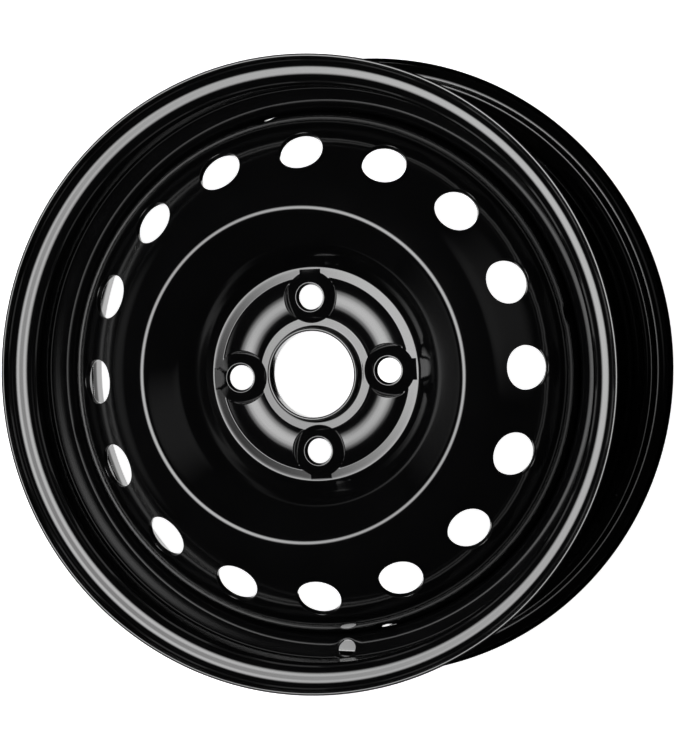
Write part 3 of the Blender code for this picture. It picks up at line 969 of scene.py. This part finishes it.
# %% Build the floor
def card_object(name, bm, material):
    """Store a bmesh as a stage card with a material."""
    mesh = bpy.data.meshes.new(name)
    bm.to_mesh(mesh)
    bm.free()
    mesh.materials.append(material)
    card = bpy.data.objects.new(name, mesh)
    bpy.context.scene.collection.objects.link(card)
    return card


def math_node(tree, operation, *values):
    """A math node with links or plain numbers on its inputs, as its output."""
    node = tree.nodes.new("ShaderNodeMath")
    node.operation = operation
    for socket, value in zip(node.inputs, values):
        if isinstance(value, float):
            socket.default_value = value
        else:
            tree.links.new(value, socket)
    return node.outputs["Value"]


def floor_material():
    """A pale floor that reads as white to the eye and in a mirror, and is clear from below."""
    material = bpy.data.materials.new("pale_floor")
    material.use_nodes = True
    tree = material.node_tree
    shader = tree.nodes["Principled BSDF"]
    shader.inputs["Base Color"].default_value = (0.8, 0.8, 0.8, 1.0)
    shader.inputs["Roughness"].default_value = 0.8
    shader.inputs["Emission Color"].default_value = (1.0, 1.0, 1.0, 1.0)
    path = tree.nodes.new("ShaderNodeLightPath")
    side = tree.nodes.new("ShaderNodeNewGeometry")
    seen = math_node(tree, "MAXIMUM", path.outputs["Is Camera Ray"], path.outputs["Is Transmission Ray"])
    seen = math_node(tree, "MAXIMUM", seen, path.outputs["Is Glossy Ray"])
    tree.links.new(seen, shader.inputs["Emission Strength"])
    from_below = math_node(tree, "MULTIPLY", side.outputs["Backfacing"], path.outputs["Is Camera Ray"])
    clear = tree.nodes.new("ShaderNodeBsdfTransparent")
    mix = tree.nodes.new("ShaderNodeMixShader")
    tree.links.new(from_below, mix.inputs["Fac"])
    tree.links.new(shader.outputs["BSDF"], mix.inputs[1])
    tree.links.new(clear.outputs["BSDF"], mix.inputs[2])
    tree.links.new(mix.outputs["Shader"], tree.nodes["Material Output"].inputs["Surface"])
    return material


bm = bmesh.new()
bmesh.ops.create_grid(bm, x_segments=1, y_segments=1, size=6.0)
bmesh.ops.translate(bm, verts=bm.verts, vec=(0, 0, -0.001))
card_object("pale_floor", bm, floor_material())

# %% [markdown]
# One large round softbox lights the front. Every flat face mirrors the camera along one line, and the box
# stands 9.5 degrees to the right of that line and 5.5 degrees above it, so the flats turn light grey and
# every slope steeper than about 15 degrees falls to black. A softbox is brightest in its middle, which gives
# the soft ends of the highlights on the arcs. Two wide, dim glows stand low on either side and put a faint
# sheen on the walls of the dish. Places, sizes and strengths were fitted to the one photograph.

# %% Hang the softboxes
SOFTBOX_AIM = Vector((0, 0, 0.15))


def softbox_material(strength, full_share):
    """Light that is even out to a share of the card's radius and fades out to its edge."""
    material = bpy.data.materials.new("softbox_cloth")
    material.use_nodes = True
    nodes, links = material.node_tree.nodes, material.node_tree.links
    nodes.remove(nodes["Principled BSDF"])
    place = nodes.new("ShaderNodeTexCoord")
    reach = nodes.new("ShaderNodeVectorMath")
    reach.operation = "LENGTH"
    links.new(place.outputs["Object"], reach.inputs[0])
    fade = nodes.new("ShaderNodeMapRange")
    fade.interpolation_type = "SMOOTHSTEP"
    fade.inputs["From Min"].default_value = 1.0
    fade.inputs["From Max"].default_value = full_share
    fade.inputs["To Min"].default_value = 0.0
    fade.inputs["To Max"].default_value = strength
    links.new(reach.outputs["Value"], fade.inputs["Value"])
    glow = nodes.new("ShaderNodeEmission")
    links.new(fade.outputs["Result"], glow.inputs["Strength"])
    links.new(glow.outputs["Emission"], nodes["Material Output"].inputs["Surface"])
    return material


def softbox(name, direction, distance, half_angles, strength, full_share):
    """A card that shines at the wheel from a direction and is seen only in reflections."""
    bm = bmesh.new()
    bmesh.ops.create_circle(bm, cap_ends=True, segments=64, radius=1.0)
    card = card_object(name, bm, softbox_material(strength, full_share))
    line = Vector(direction).normalized()
    size = [distance * math.tan(math.radians(angle)) for angle in half_angles]
    turn = line.to_track_quat("-Z", "Y").to_matrix().to_4x4()
    place = Matrix.Translation(SOFTBOX_AIM + line * distance)
    card.matrix_world = place @ turn @ Matrix.Diagonal((*size, 1.0, 1.0))
    card.visible_camera = False
    return card


def low_line(azimuth, elevation):
    """A direction at an azimuth round the wheel and an elevation over the floor, in degrees."""
    level = math.cos(math.radians(elevation))
    azimuth = math.radians(azimuth)
    return level * math.cos(azimuth), level * math.sin(azimuth), math.sin(math.radians(elevation))


mirror_line = Vector((-view_line.x, -view_line.y, view_line.z))
to_right = Matrix.Rotation(math.radians(9.5), 3, "Y")
to_top = Matrix.Rotation(math.radians(-5.5), 3, "X")
front_line = to_right @ to_top @ mirror_line
softbox("front_softbox", front_line, 1.8, (27.3, 27.3), 9.5, 0.15)
softbox("left_glow", low_line(180.0, 12.0), 2.6, (35.0, 14.0), 0.15, 0.3)
softbox("right_glow", low_line(20.0, 34.0), 2.6, (32.0, 11.0), 0.2, 0.3)
print("front softbox line:", [round(value, 2) for value in front_line])

# %% [markdown]
# A photographer lays black velvet beside a glossy object where it would mirror the white table. Here it
# lies under the right half, so the barrel behind the right-hand vents goes black, while the left-hand vents
# still show the white floor in the barrel. The camera sees past it, and it dims nothing but reflections. Its
# straight edge shows as a hard line in the rim when the wheel is seen from the side, from behind or below.

# %% Lay the velvet and light the room
def velvet_material():
    """Black cloth that gives nothing back."""
    material = bpy.data.materials.new("black_velvet")
    material.use_nodes = True
    shader = material.node_tree.nodes["Principled BSDF"]
    shader.inputs["Base Color"].default_value = (0.0, 0.0, 0.0, 1.0)
    shader.inputs["Roughness"].default_value = 1.0
    shader.inputs["IOR"].default_value = 1.0
    return material


bm = bmesh.new()
bmesh.ops.create_grid(bm, x_segments=1, y_segments=1, size=1.5)
bmesh.ops.translate(bm, verts=bm.verts, vec=(1.5, 0, -0.0005))
velvet = card_object("black_velvet", bm, velvet_material())
velvet.visible_camera = False
velvet.visible_diffuse = False
velvet.visible_shadow = False

ROOM_LIGHT = 0.008
world = bpy.data.worlds.new("studio")
world.use_nodes = True
room = world.node_tree.nodes["Background"]
room.inputs["Color"].default_value = (1.0, 1.0, 1.0, 1.0)
path = world.node_tree.nodes.new("ShaderNodeLightPath")
room_strength = math_node(world.node_tree, "MAXIMUM", path.outputs["Is Camera Ray"], ROOM_LIGHT)
world.node_tree.links.new(room_strength, room.inputs["Strength"])
bpy.context.scene.world = world
bpy.context.scene.view_settings.view_transform = "Standard"
